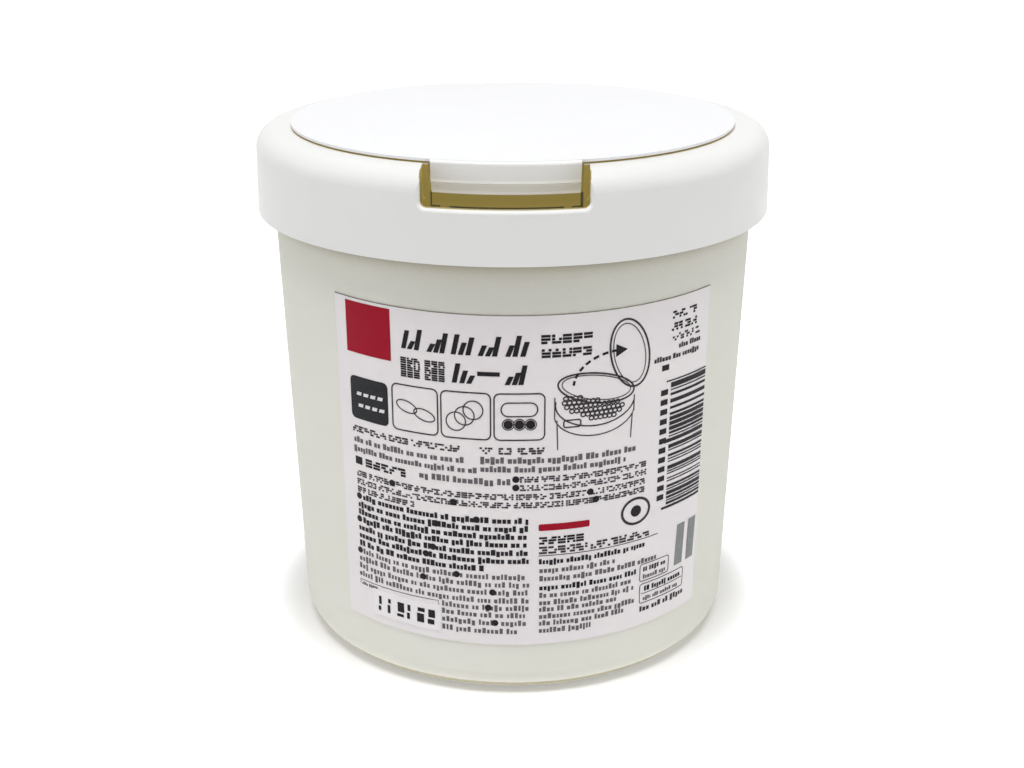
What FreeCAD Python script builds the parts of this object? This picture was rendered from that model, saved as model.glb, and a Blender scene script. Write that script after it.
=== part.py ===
"""Round cotton swab tub with a lift-off lid ring, a hinged flap and a push button.

Frame: millimetres, origin at the middle of the base on the surface it stands on,
+Z up, the front (notch and button) towards -Y, +X to the right of the front.
"""
import FreeCAD, Part
import math
import os

from FreeCAD import Vector

# Tub: a drafted round cup with a rounded foot
tub_height = 91.6
tub_base_radius = 42.4
tub_rim_radius = 45.2
tub_wall = 1.4
tub_floor = 1.6
tub_corner_radius = 5.0
foot_ring_width = 3.0
foot_recess = 0.9
rim_bead_size = 0.55
rim_bead_height = 1.9
rim_bead_flat = 0.5
rim_bead_drop = 3.2
gate_mark_radius = 1.6
gate_mark_height = 0.4

# Lid ring that sits over the tub's rim
skirt_clearance = 1.3
collar_height = 15.0
collar_draft = 0.3
collar_above_rim = 6.4
shoulder_radius = 3.6
skirt_wall = 1.5
top_wall = 1.6
snap_ridge_height = 2.0
snap_ridge_flat = 0.4
snap_ridge_rise = 2.4
snap_clearance = 0.15
plug_wall = 1.2
plug_depth = 9.5
plug_clearance = 0.4
stop_rib_count = 12
stop_rib_width = 1.2
rib_free_angle = 18.0
rim_seat_gap = 0.1

# Seat and mouth that the flap closes
rim_face_width = 7.4
seat_width = 2.6
seat_depth = 2.1
flange_wall = 1.5

# Flap: a shallow dome whose thin rim stands just above the ring, a skirt below, a hook in front
flap_overlap = 0.6
flap_lift = 0.35
flap_edge = 0.45
flap_dome = 0.55
flap_wall = 1.6
flap_gap = 0.9
flap_seat_clearance = 0.25
flap_skirt_clearance = 0.8
flap_skirt_wall = 1.2
flap_skirt_depth = 5.6
skirt_flat_setback = 3.6
hook_width = 12.0
hook_height = 1.2
hook_tip_height = 0.4
hook_bite = 0.8

# Hinge at the rear of the flap
hinge_setback = 0.4
hinge_barrel_radius = 2.0
hinge_barrel_length = 18.0
hinge_pin_radius = 1.15
hinge_pin_length = 2.6
hinge_open_angle = 100.0
hinge_floor = 1.0
chord_setback = 3.0
chord_gap = 1.1
pin_clearance = 0.05
side_clearance = 0.3

# Front notch and the push button that stands in it
notch_width = 27.35
notch_depth = 5.9
notch_corner_radius = 1.0
notch_edge_radius = 0.65
notch_back_setback = 4.1
sill_depth = 7.8
sill_step = 0.5
well_clearance = 0.3
well_wall = 1.6
button_width = 24.85
button_taper = 0.2
button_height = 4.2
button_stand_off = 0.7
button_edge_radius = 0.55
button_crease_drop = 2.75
button_crease_step = 0.25
button_lower_slope = 0.2
button_flap_gap = 0.15
button_step_gap = 0.2
button_plate_drop = 2.7
button_plate_wall = 1.5
button_back_setback = 1.9
button_apron_drop = 2.7
button_apron_wall = 1.0
button_apron_inset = 0.2
cheek_wall = 1.3
cheek_inset = 1.6
cheek_front_reach = 0.9
pivot_setback = 3.7
pivot_drop = 9.7
pivot_boss_radius = 1.6
pivot_pin_radius = 0.95
pivot_pin_length = 1.6
bracket_wall = 1.6

# Paper label on the front of the tub, and the small lot sticker on it
label_width = 73.6
label_height = 62.9
label_middle_height = 42.3
label_turn = 5.2
label_thickness = 0.12
glue_gap = 0.04
sticker_width = 14.4
sticker_height = 5.2
sticker_left_inset = 6.4
sticker_bottom_inset = 1.7
sticker_thickness = 0.1

# Reach of a joined feature into the wall behind it, least inside rounding, smallest step
weld = 0.2
least_round = 0.5
sharp = 0.02

# Heights and radii that follow from the sizes above
lid_top = tub_height + collar_above_rim
collar_bottom = lid_top - collar_height
skirt_inner_radius = tub_rim_radius + skirt_clearance
collar_radius = skirt_inner_radius + skirt_wall
collar_top_radius = collar_radius - collar_draft
plate_under = lid_top - top_wall
seat_top = lid_top - seat_depth
flange_under = seat_top - flange_wall
seat_radius = collar_radius - rim_face_width
mouth_radius = seat_radius - seat_width
flap_radius = seat_radius + flap_overlap
flap_step_radius = seat_radius - flap_gap
hinge_reach = flap_radius - hinge_setback
button_face_radius = flap_radius + button_stand_off
button_wall_back = flap_step_radius + button_step_gap
button_back_edge = mouth_radius - button_back_setback
pivot_reach = button_face_radius - pivot_setback
notch_back = mouth_radius - notch_back_setback
flap_under = seat_top + flap_seat_clearance
rim_under = lid_top + flap_lift
rim_top = rim_under + flap_edge
skirt_outer = mouth_radius - flap_skirt_clearance
skirt_bottom = lid_top - flap_skirt_depth
hinge_height = lid_top - hinge_barrel_radius
chord_edge = hinge_reach - chord_setback
seat_chord = chord_edge + chord_gap
notch_floor = lid_top - notch_depth
sill_top = lid_top - sill_depth
button_bottom = lid_top - button_height
plate_top = lid_top - button_plate_drop
catch_under = plate_top - button_plate_wall
pivot_height = lid_top - pivot_drop
front_flat = button_back_edge - flap_skirt_clearance
well_half = button_width / 2.0 + well_clearance
far = 3.0 * collar_radius


def tub_radius(z):
    """Outer radius of the tub's wall at a height."""
    share = z / tub_height
    return tub_base_radius + (tub_rim_radius - tub_base_radius) * share


def plug_outer_radius():
    """The plug ring clears the inside of the tub's wall at its lower end."""
    low = lid_top - plug_depth
    return tub_radius(low) - tub_wall - plug_clearance


def face_of(points):
    """Face in the XZ plane from (radius, height) points, joined by straight lines."""
    corners = [Vector(r, 0, z) for r, z in points]
    corners.append(corners[0])
    return Part.Face(Part.makePolygon(corners))


def face_of_edges(edges):
    """Face bounded by edges that follow each other."""
    return Part.Face(Part.Wire(edges))


def line(start, end):
    """Straight edge between two (radius, height) points."""
    return Part.LineSegment(Vector(start[0], 0, start[1]), Vector(end[0], 0, end[1])).toShape()


def arc(start, middle, end):
    """Arc through three (radius, height) points."""
    points = [Vector(r, 0, z) for r, z in (start, middle, end)]
    return Part.Arc(*points).toShape()


def corner_arc(centre, radius, from_deg, to_deg):
    """Arc about a centre in the (radius, height) plane."""
    angles = (from_deg, (from_deg + to_deg) / 2.0, to_deg)
    points = []
    for angle in angles:
        turn = math.radians(angle)
        points.append((centre[0] + radius * math.cos(turn), centre[1] + radius * math.sin(turn)))
    return arc(*points)


def turned(face, sweep=360.0, start=0.0):
    """Solid of revolution about Z; start is measured from +X."""
    solid = face.revolve(Vector(0, 0, 0), Vector(0, 0, 1), sweep)
    if start:
        solid.rotate(Vector(0, 0, 0), Vector(0, 0, 1), start)
    return solid


def box(x0, x1, y0, y1, z0, z1):
    """Box between two corners."""
    return Part.makeBox(x1 - x0, y1 - y0, z1 - z0, Vector(x0, y0, z0))


def bar_x(radius, x0, x1, y, z):
    """Round bar along X."""
    return Part.makeCylinder(radius, x1 - x0, Vector(x0, y, z), Vector(1, 0, 0))


def disc(radius, z0, z1):
    """Upright cylinder about the tub's axis."""
    return Part.makeCylinder(radius, z1 - z0, Vector(0, 0, z0))


def make_tub():
    """Cup with a drafted wall, a rounded foot, a recessed base and a bead under the rim."""
    slope = wall_slope()
    fillet = tub_corner_radius
    inner_fillet = max(fillet - tub_wall, least_round)
    # The foot's arc is tangent to the base plane and to the drafted wall.
    centre_z = fillet
    centre_r = tub_radius(centre_z) - fillet / math.cos(slope)
    wall_r = centre_r + fillet * math.cos(slope)
    wall_z = centre_z - fillet * math.sin(slope)
    inner_z = tub_floor + inner_fillet
    inner_r = tub_radius(inner_z) - tub_wall - inner_fillet / math.cos(slope)
    inner_wall_r = inner_r + inner_fillet * math.cos(slope)
    inner_wall_z = inner_z - inner_fillet * math.sin(slope)
    rim_round = tub_wall / 4.0
    rim_outer = tub_radius(tub_height - rim_round)
    rim_inner = rim_outer - tub_wall
    edges = [
        line((0, 0), (centre_r, 0)),
        corner_arc((centre_r, centre_z), fillet, -90.0, -math.degrees(slope)),
        line((wall_r, wall_z), (rim_outer, tub_height - rim_round)),
        line((rim_outer, tub_height - rim_round), (rim_outer - rim_round, tub_height)),
        line((rim_outer - rim_round, tub_height), (rim_inner + rim_round, tub_height)),
        line((rim_inner + rim_round, tub_height), (rim_inner, tub_height - rim_round)),
        line((rim_inner, tub_height - rim_round), (inner_wall_r, inner_wall_z)),
        corner_arc((inner_r, inner_z), inner_fillet, -math.degrees(slope), -90.0),
        line((inner_r, tub_floor), (0, tub_floor)),
        line((0, tub_floor), (0, 0)),
    ]
    body = turned(face_of_edges(edges))
    recess_radius = centre_r - foot_ring_width
    recess = Part.makeCone(recess_radius, recess_radius - foot_recess, foot_recess)
    body = body.cut(recess)
    gate = Part.makeCone(gate_mark_radius, gate_mark_radius - gate_mark_height, gate_mark_height)
    gate.translate(Vector(0, 0, foot_recess - gate_mark_height))
    body = body.fuse(gate)
    bead_z = tub_height - rim_bead_drop
    wall_r = tub_radius(bead_z)
    bead = turned(face_of([
        (wall_r - weld, bead_z + rim_bead_height / 2.0),
        (wall_r + rim_bead_size, bead_z + rim_bead_flat / 2.0),
        (wall_r + rim_bead_size, bead_z - rim_bead_flat / 2.0),
        (wall_r - weld, bead_z - rim_bead_height / 2.0),
    ]))
    return body.fuse(bead).removeSplitter()


def collar_ring():
    """Lid ring turned in one piece: skirt, top, seat, flange and plug."""
    plug_outer = plug_outer_radius()
    plug_inner = plug_outer - plug_wall
    plug_low = lid_top - plug_depth
    inner_round = max(shoulder_radius - skirt_wall, least_round)
    skirt_inner_top = collar_top_radius - skirt_wall
    hollow_centre = (skirt_inner_top - inner_round, plate_under - inner_round)
    edges = [
        line((skirt_inner_radius, collar_bottom), (collar_radius, collar_bottom)),
        line((collar_radius, collar_bottom), (collar_top_radius, lid_top)),
        line((collar_top_radius, lid_top), (seat_radius, lid_top)),
        line((seat_radius, lid_top), (seat_radius, seat_top)),
        line((seat_radius, seat_top), (mouth_radius, seat_top)),
        line((mouth_radius, seat_top), (mouth_radius, flange_under)),
        line((mouth_radius, flange_under), (plug_inner, flange_under)),
        line((plug_inner, flange_under), (plug_inner, plug_low)),
        line((plug_inner, plug_low), (plug_outer, plug_low)),
        line((plug_outer, plug_low), (plug_outer, plate_under)),
        line((plug_outer, plate_under), (hollow_centre[0], plate_under)),
        corner_arc(hollow_centre, inner_round, 90.0, 0.0),
        line((skirt_inner_top, hollow_centre[1]), (skirt_inner_radius, collar_bottom)),
    ]
    return turned(face_of_edges(edges))


def snap_ridge():
    """Ridge inside the skirt, just wide enough to pass the tub's bead."""
    bead_radius = tub_radius(tub_height - rim_bead_drop) + rim_bead_size
    ridge_radius = bead_radius + snap_clearance
    middle = collar_bottom + snap_ridge_rise
    back = skirt_inner_radius + weld
    return turned(face_of([
        (back, middle - snap_ridge_height / 2.0),
        (ridge_radius, middle - snap_ridge_flat / 2.0),
        (ridge_radius, middle + snap_ridge_flat / 2.0),
        (back, middle + snap_ridge_height / 2.0),
    ]))


def stop_ribs():
    """Radial ribs under the top that rest on the tub's rim, none at the notch or the hinge."""
    inner = plug_outer_radius() - weld
    outer = skirt_inner_radius + weld
    half = stop_rib_width / 2.0
    low = tub_height + rim_seat_gap
    ribs = []
    for index in range(stop_rib_count):
        angle = 360.0 * index / stop_rib_count
        if abs(math.cos(math.radians(angle))) < math.sin(math.radians(rib_free_angle)):
            continue
        rib = box(inner, outer, -half, half, low, plate_under + weld)
        rib.rotate(Vector(0, 0, 0), Vector(0, 0, 1), angle)
        ribs.append(rib)
    return ribs


def hinge_block():
    """Rear segment of the ring that holds the hinge pins, with a pocket for the barrel."""
    plug_outer = plug_outer_radius()
    block_low = hinge_height - hinge_barrel_radius - side_clearance - hinge_floor
    pocket_front = hinge_reach - hinge_barrel_radius - side_clearance
    lower = disc(plug_outer, block_low, seat_top)
    lower = lower.common(box(-far, far, pocket_front - hinge_floor, far, block_low, seat_top))
    upper = disc(seat_radius + weld, seat_top - weld, lid_top)
    upper = upper.common(box(-far, far, seat_chord, far, seat_top - weld, lid_top))
    return lower.fuse(upper)


def hinge_pocket():
    """Space that the flap's barrel turns in, long enough for the open flap to lean back."""
    turn = math.radians(hinge_open_angle)
    lean = hinge_barrel_radius * (math.sin(turn) - math.tan(turn / 2.0) * math.cos(turn))
    reach = max(lean, hinge_barrel_radius) + side_clearance
    half = hinge_barrel_length / 2.0 + side_clearance
    low = hinge_height - hinge_barrel_radius - side_clearance
    front = hinge_reach - hinge_barrel_radius - side_clearance
    return box(-half, half, front, hinge_reach + reach, low, lid_top + 1.0)


def hinge_bores():
    """Bores for the flap's two pins."""
    half = hinge_barrel_length / 2.0 + hinge_pin_length + side_clearance
    return bar_x(hinge_pin_radius + pin_clearance, -half, half, hinge_reach, hinge_height)


def notch_cutter():
    """U-shaped notch through skirt, shoulder and top, in front of the flap's outline."""
    half = notch_width / 2.0
    r = notch_corner_radius
    top = lid_top + 1.0
    lean = r * (1.0 - math.sqrt(0.5))
    floor = notch_floor
    edges = [
        line((-half, top), (-half, floor + r)),
        arc((-half, floor + r), (-half + lean, floor + lean), (-half + r, floor)),
        line((-half + r, floor), (half - r, floor)),
        arc((half - r, floor), (half - lean, floor + lean), (half, floor + r)),
        line((half, floor + r), (half, top)),
        line((half, top), (-half, top)),
    ]
    face = face_of_edges(edges)
    face.translate(Vector(0, -notch_back, 0))
    return face.extrude(Vector(0, -far, 0)).cut(disc(flap_radius, floor - 1.0, top + 1.0))


def sill_cutter():
    """Lower part of the notch inside the skirt, down to a sill that ties the plug's two ends."""
    half = notch_width / 2.0
    high = notch_floor + weld
    inside = disc(skirt_inner_radius - sill_step, sill_top, high).cut(disc(flap_radius, sill_top, high))
    return inside.common(box(-half, half, -far, -notch_back, sill_top, high))


def well_cutter():
    """Narrower well behind the notch, in which the button's back and its apron stand."""
    top = lid_top + 1.0
    inside = disc(flap_radius + weld, sill_top, top)
    return inside.common(box(-well_half, well_half, -far, -notch_back, sill_top, top))


def well_walls():
    """Side walls of the well, from the sill up to the flange."""
    low = sill_top - weld
    high = flange_under + weld
    reach = plug_outer_radius() - plug_wall + weld
    ring = disc(reach, low, high).cut(disc(mouth_radius, low, high))
    walls = []
    for side in (-1, 1):
        x0, x1 = sorted((side * well_half, side * (well_half + well_wall)))
        wall = ring.common(box(x0, x1, -far, 0, low, high))
        walls.append(wall.cut([notch_cutter(), sill_cutter()]))
    return walls


def brackets():
    """Two lugs behind the sill that hold the button's pivot pins."""
    plug_outer = plug_outer_radius()
    inner = button_width / 2.0 - cheek_inset + side_clearance
    low = pivot_height - pivot_boss_radius
    lugs = []
    for side in (-1, 1):
        x0, x1 = sorted((side * inner, side * (inner + bracket_wall)))
        lug = box(x0, x1, -far, -pivot_reach, low, sill_top)
        nose = bar_x(pivot_boss_radius, x0, x1, -pivot_reach, pivot_height)
        web = box(x0, x1, -pivot_reach - weld, -pivot_reach + pivot_boss_radius, pivot_height, sill_top)
        lug = lug.fuse([nose, web]).common(disc(plug_outer, low - 1.0, sill_top + 1.0))
        lugs.append(lug)
    return lugs


def notch_edges(ring):
    """Edges where the notch meets the outside of the skirt, below the top face."""
    half = notch_width / 2.0
    draft = collar_draft / collar_height
    picked = []
    for edge in ring.Edges:
        middle = edge.valueAt((edge.FirstParameter + edge.LastParameter) / 2.0)
        skirt = collar_radius - draft * (middle.z - collar_bottom)
        outside = abs(math.hypot(middle.x, middle.y) - skirt) < sharp
        across = abs(middle.x) < half + sharp and middle.y < 0
        if outside and across and notch_floor - sharp < middle.z < lid_top - sharp:
            picked.append(edge)
    return picked


def shoulder_cutter():
    """Ring that takes the outer top corner down to the shoulder's arc."""
    low = lid_top - shoulder_radius
    radius = collar_radius - collar_draft * (low - collar_bottom) / collar_height
    centre = (radius - shoulder_radius, low)
    over = 1.0
    return turned(face_of_edges([
        corner_arc(centre, shoulder_radius, 90.0, 0.0),
        line((radius, low), (radius + over, low)),
        line((radius + over, low), (radius + over, lid_top + over)),
        line((radius + over, lid_top + over), (centre[0], lid_top + over)),
        line((centre[0], lid_top + over), (centre[0], lid_top)),
    ]))


def make_collar():
    """Lid ring with its notch, shoulder, hinge seat, stop ribs and button brackets."""
    ring = collar_ring().cut([notch_cutter(), well_cutter()])
    edge_radius = min(notch_edge_radius, 0.9 * skirt_wall)
    ring = ring.makeFillet(edge_radius, notch_edges(ring))
    ring = ring.cut(shoulder_cutter())
    collar = ring.fuse([snap_ridge(), hinge_block()] + stop_ribs())
    collar = collar.cut([sill_cutter(), well_cutter()]).fuse(brackets() + well_walls())
    pin_half = button_width / 2.0 - cheek_inset + pivot_pin_length + side_clearance
    button_bore = bar_x(pivot_pin_radius + pin_clearance, -pin_half, pin_half, -pivot_reach, pivot_height)
    return collar.cut([hinge_pocket(), hinge_bores(), button_bore]).removeSplitter()


def dome_height(radius, depth=0.0):
    """Height at a radius of the flap's spherical top, or of a sphere that lies deeper."""
    sphere = (flap_radius ** 2 + flap_dome ** 2) / (2.0 * flap_dome)
    centre = rim_top + flap_dome - sphere
    return centre + math.sqrt((sphere - depth) ** 2 - radius ** 2)


def flap_plate():
    """Domed plate with a thin rim over the ring, a step below it, cut straight at the hinge."""
    crown = dome_height(0)
    mid = flap_radius / 2.0
    hollow_radius = skirt_outer - flap_skirt_wall
    hollow_edge = dome_height(hollow_radius, flap_wall)
    hollow_mid = dome_height(hollow_radius / 2.0, flap_wall)
    edges = [
        arc((0, crown), (mid, dome_height(mid)), (flap_radius, rim_top)),
        line((flap_radius, rim_top), (flap_radius, rim_under)),
        line((flap_radius, rim_under), (flap_step_radius, rim_under)),
        line((flap_step_radius, rim_under), (flap_step_radius, flap_under)),
        line((flap_step_radius, flap_under), (hollow_radius, flap_under)),
        line((hollow_radius, flap_under), (hollow_radius, hollow_edge)),
        arc((hollow_radius, hollow_edge), (hollow_radius / 2.0, hollow_mid), (0, crown - flap_wall)),
        line((0, crown - flap_wall), (0, crown)),
    ]
    plate = turned(face_of_edges(edges))
    return plate.cut(box(-far, far, chord_edge, far, 0, far))


def flap_skirt():
    """Ring below the flap, with a flat behind the button and another before the hinge."""
    rear_flat = chord_edge - skirt_flat_setback
    height = flap_under + weld
    outer = disc(skirt_outer, skirt_bottom, height)
    outer = outer.common(box(-far, far, -front_flat, rear_flat, skirt_bottom, height))
    inner = disc(skirt_outer - flap_skirt_wall, skirt_bottom, height)
    flat = flap_skirt_wall
    inner = inner.common(box(-far, far, -front_flat + flat, rear_flat - flat, skirt_bottom, height))
    return outer.cut(inner)


def flap_hook():
    """Wedge on the skirt's front flat that catches under the button's back edge."""
    top = catch_under - flap_seat_clearance
    root = -front_flat + weld
    tip = -button_back_edge - hook_bite
    half = hook_width / 2.0
    corners = [(root, top), (tip, top), (tip, top - hook_tip_height), (root, top - hook_height)]
    points = [Vector(-half, y, z) for y, z in corners]
    points.append(points[0])
    return Part.Face(Part.makePolygon(points)).extrude(Vector(hook_width, 0, 0))


def flap_hinge():
    """Barrel with a pin at each end, joined to the plate by a short web."""
    half = hinge_barrel_length / 2.0
    pin_end = half + hinge_pin_length
    barrel = bar_x(hinge_barrel_radius, -half, half, hinge_reach, hinge_height)
    web = box(-half, half, chord_edge - weld, hinge_reach, flap_under, lid_top - flap_edge)
    pin = bar_x(hinge_pin_radius, -pin_end, pin_end, hinge_reach, hinge_height)
    return [barrel, web, pin]


def make_flap():
    """Flap in one piece: plate, skirt, hook and hinge."""
    pieces = [flap_skirt(), flap_hook()] + flap_hinge()
    return flap_plate().fuse(pieces).removeSplitter()


def button_front():
    """Curved front of the button: rounded top edge, crease, set-back lower stripe."""
    face = button_face_radius
    back = button_wall_back
    rim = flap_radius + button_flap_gap
    r = min(button_edge_radius, face - rim)
    crease = lid_top - button_crease_drop
    lower = face - button_crease_step
    ledge = rim_under - button_flap_gap
    edges = [
        line((rim, ledge), (rim, rim_top)),
    ]
    if face - r - rim > sharp:
        edges.append(line((rim, rim_top), (face - r, rim_top)))
    edges += [
        corner_arc((face - r, rim_top - r), r, 90.0, 0.0),
        line((face, rim_top - r), (face, crease)),
        line((face, crease), (lower, crease - button_crease_step)),
        line((lower, crease - button_crease_step), (lower - button_lower_slope, button_bottom)),
        line((lower - button_lower_slope, button_bottom), (back, button_bottom)),
        line((back, button_bottom), (back, ledge)),
        line((back, ledge), (rim, ledge)),
    ]
    return turned(face_of_edges(edges))


def button_outline():
    """Slightly tapered band that trims the button's sides."""
    top = button_width / 2.0
    low = top - button_taper
    floor = button_bottom - 1.0
    high = rim_top + 1.0
    face = face_of([(-top, high), (top, high), (low, floor), (-low, floor)])
    face.translate(Vector(0, -button_back_edge, 0))
    return face.extrude(Vector(0, -far, 0))


def button_cheeks():
    """Side cheeks that go down to the pivot pins."""
    outer = button_width / 2.0 - cheek_inset
    cheeks = []
    for side in (-1, 1):
        x0, x1 = sorted((side * (outer - cheek_wall), side * outer))
        back = -pivot_reach + pivot_boss_radius
        front = -pivot_reach - cheek_front_reach
        low = -pivot_reach - pivot_boss_radius
        top = catch_under + weld
        corners = [(front, top), (back, top), (back, pivot_height), (low, pivot_height)]
        points = [Vector(x0, y, z) for y, z in corners]
        points.append(points[0])
        web = Part.Face(Part.makePolygon(points)).extrude(Vector(x1 - x0, 0, 0))
        boss = bar_x(pivot_boss_radius, x0, x1, -pivot_reach, pivot_height)
        p0, p1 = sorted((side * outer, side * (outer + pivot_pin_length)))
        pin = bar_x(pivot_pin_radius, p0, p1, -pivot_reach, pivot_height)
        cheeks += [web, boss, pin]
    return cheeks


def button_apron():
    """Wall below the front, set back from it, that closes the well below the button."""
    back = button_wall_back
    half = button_width / 2.0 - button_apron_inset
    low = button_bottom - button_apron_drop
    high = button_bottom + weld
    ring = disc(back + button_apron_wall, low, high).cut(disc(back, low, high))
    return ring.common(box(-half, half, -far, 0, low, high))


def make_button():
    """Push button: curved front, catch plate behind it and two cheeks with pivot pins."""
    plate = disc(button_wall_back + weld, catch_under, plate_top)
    trim = button_outline()
    shell = button_front().common(trim)
    shell = shell.fuse(plate.common(trim))
    return shell.fuse([button_apron()] + button_cheeks()).removeSplitter()


def wall_slope():
    """Angle between the tub's wall and its axis."""
    return math.atan2(tub_rim_radius - tub_base_radius, tub_height)


def wrapped_point(x, y):
    """Place on the tub's wall of a point of a flat sheet laid round the cone.

    x and y are measured on the flat sheet from the label's middle.
    """
    slope = wall_slope()
    middle = tub_radius(label_middle_height)
    bend = math.sin(slope) / middle
    along = y + bend * x * x / 2.0
    turn = x / (middle * (1.0 + bend * y)) + math.radians(label_turn)
    height = label_middle_height + along * math.cos(slope)
    radius = tub_radius(height)
    return Vector(radius * math.sin(turn), -radius * math.cos(turn), height)


def shell(lift, thickness):
    """Thin conical shell that lies on the tub's wall."""
    low = label_middle_height - label_height
    high = label_middle_height + label_height
    return turned(face_of([
        (tub_radius(low) + lift, low),
        (tub_radius(low) + lift + thickness, low),
        (tub_radius(high) + lift + thickness, high),
        (tub_radius(high) + lift, high),
    ]))


def wrapped_sheet(left, right, bottom, top, lift, thickness):
    """Flat rectangular sheet laid round the front of the tub's wall."""
    middle = (left + right) / 2.0
    corners = [(left, bottom), (right, bottom), (right, top), (left, top)]
    spots = [wrapped_point(x, y) for x, y in corners]
    low_mid = wrapped_point(middle, bottom)
    top_mid = wrapped_point(middle, top)
    for spot in spots + [low_mid, top_mid]:
        spot.y = 0
    outline = Part.Face(Part.Wire([
        Part.Arc(spots[0], low_mid, spots[1]).toShape(),
        Part.LineSegment(spots[1], spots[2]).toShape(),
        Part.Arc(spots[2], top_mid, spots[3]).toShape(),
        Part.LineSegment(spots[3], spots[0]).toShape(),
    ]))
    return shell(lift, thickness).common(outline.extrude(Vector(0, -far, 0)))


def make_label():
    """Paper label that wraps about a quarter of the tub."""
    half = label_width / 2.0
    tall = label_height / 2.0
    return wrapped_sheet(-half, half, -tall, tall, glue_gap, label_thickness)


def make_sticker():
    """Small sticker stuck over the label's lower left corner."""
    left = sticker_left_inset - label_width / 2.0
    bottom = sticker_bottom_inset - label_height / 2.0
    right = left + sticker_width
    lift = glue_gap + label_thickness + glue_gap
    return wrapped_sheet(left, right, bottom, bottom + sticker_height, lift, sticker_thickness)


def main():
    """Build every piece and write one file for each."""
    os.makedirs("parts", exist_ok=True)
    pieces = {
        "tub": make_tub(),
        "collar": make_collar(),
        "flap": make_flap(),
        "push_button": make_button(),
        "label": make_label(),
        "lot_sticker": make_sticker(),
    }
    for name, shape in pieces.items():
        solids = shape.Solids
        solid = solids[0] if len(solids) == 1 else Part.makeCompound(solids)
        solid.exportStep("parts/" + name + ".step")
        print(name, len(solids), "solid(s)", round(shape.Volume / 1000.0, 3), "cm3", shape.isValid())


main()
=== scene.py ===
"""Looks of a round cotton swab tub: materials, printed label, light, floor and camera.

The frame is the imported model's: +Z up, front towards -Y. Names without a unit in their
comment are in millimetres; MM turns them into Blender's metres.
"""
import math
import random

import bpy
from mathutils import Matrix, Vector


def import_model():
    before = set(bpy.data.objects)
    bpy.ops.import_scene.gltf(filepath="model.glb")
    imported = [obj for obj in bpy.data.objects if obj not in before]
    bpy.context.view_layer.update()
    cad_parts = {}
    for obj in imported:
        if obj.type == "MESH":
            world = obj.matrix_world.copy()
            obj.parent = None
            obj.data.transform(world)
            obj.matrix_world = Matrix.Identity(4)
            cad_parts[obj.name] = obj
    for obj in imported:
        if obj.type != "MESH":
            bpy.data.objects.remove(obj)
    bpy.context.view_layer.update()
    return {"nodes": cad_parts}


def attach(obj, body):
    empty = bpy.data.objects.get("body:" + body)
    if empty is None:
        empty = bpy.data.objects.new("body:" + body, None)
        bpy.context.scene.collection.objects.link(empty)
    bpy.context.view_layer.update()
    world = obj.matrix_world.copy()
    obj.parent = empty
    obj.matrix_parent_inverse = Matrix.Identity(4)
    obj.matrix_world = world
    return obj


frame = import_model()

MM = 0.001

# Sizes of the tub's wall and of the label on it, as in the part's source; the turn in degrees
TUB_HEIGHT = 91.6
TUB_BASE_RADIUS = 42.4
TUB_RIM_RADIUS = 45.2
LABEL_MIDDLE_HEIGHT = 42.3
LABEL_TURN = 5.2
LABEL_THICKNESS = 0.12
STICKER_THICKNESS = 0.1
GLUE_GAP = 0.04

# Ink lies this high over the paper and is this thick
INK_LIFT = 0.012
INK_THICKNESS = 0.022
# Longest straight piece of a slab, so that it follows the round wall
STEP = 1.1

# Limits of the surfaces inside the shut lid, which get painted dark shade and a painted glow
HALF_WALL = 0.7
FOOT_TOP = 1.3
NOTCH_RADIUS, NOTCH_HALF_WIDTH, NOTCH_BACK, NOTCH_TOP = 47.0, 13.8, -30.0, 97.85
PLUG_RADIUS, PLUG_TOP = 43.5, 95.7
FLAP_UNDERSIDE = 96.1
BUTTON_END = 93.38

# Shade below the lid ring: height at which it starts and how softly, and its reach in metres
SHADE_START, SHADE_SOFT = 55.0, 25.0
SHADE_REACH = 0.03

# Strip of the button's front below its solid: radii, heights, half width and number of steps
STRIP_RADII = (40.6, 41.45)
STRIP_HEIGHTS = (93.36, 93.85)
STRIP_HALF_WIDTH = 12.21
STRIP_STEPS = 24

# Noise stays between these values nearly everywhere
NOISE_LOW, NOISE_HIGH = 0.3, 0.7

# Square cells that stand for dense print, in shares of a cell: distance, bar length and height
CELL_PARTS, CELL_PITCH, CELL_BAR, CELL_BAR_HEIGHT = 3, 1.04, 0.88, 0.74

# Small blocks that stand for words: how many stand in a group, and the room between groups in
# shares of the line's height; how often a block is short or reaches below the line, and how far
GROUP_LEAST, GROUP_MOST, GROUP_GAP = 2, 8, 0.42
SHORT_CHANCE, SHORT_HEIGHT = 0.7, 0.72
DEEP_CHANCE, DEEP_REACH = 0.09, 0.24

SLOPE = math.atan2(TUB_RIM_RADIUS - TUB_BASE_RADIUS, TUB_HEIGHT)
MIDDLE_RADIUS = TUB_BASE_RADIUS + math.tan(SLOPE) * LABEL_MIDDLE_HEIGHT
BEND = math.sin(SLOPE) / MIDDLE_RADIUS
LABEL_FACE = GLUE_GAP + LABEL_THICKNESS
STICKER_FACE = LABEL_FACE + GLUE_GAP + STICKER_THICKNESS


def wrap(x, y, lift):
    """Place of a point of the flat label, x and y from its middle, laid round the tub's wall."""
    along = y + BEND * x * x / 2.0
    turn = x / (MIDDLE_RADIUS * (1.0 + BEND * y)) + math.radians(LABEL_TURN)
    height = LABEL_MIDDLE_HEIGHT + along * math.cos(SLOPE)
    radius = TUB_BASE_RADIUS + math.tan(SLOPE) * height + lift
    return (radius * math.sin(turn) * MM, -radius * math.cos(turn) * MM, height * MM)


def linear(red, green, blue):
    """Linear colour of an sRGB colour given from 0 to 255."""
    out = []
    for value in (red, green, blue):
        part = value / 255.0
        out.append(part / 12.92 if part <= 0.04045 else ((part + 0.055) / 1.055) ** 2.4)
    return (*out, 1.0)


# Materials

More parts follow.
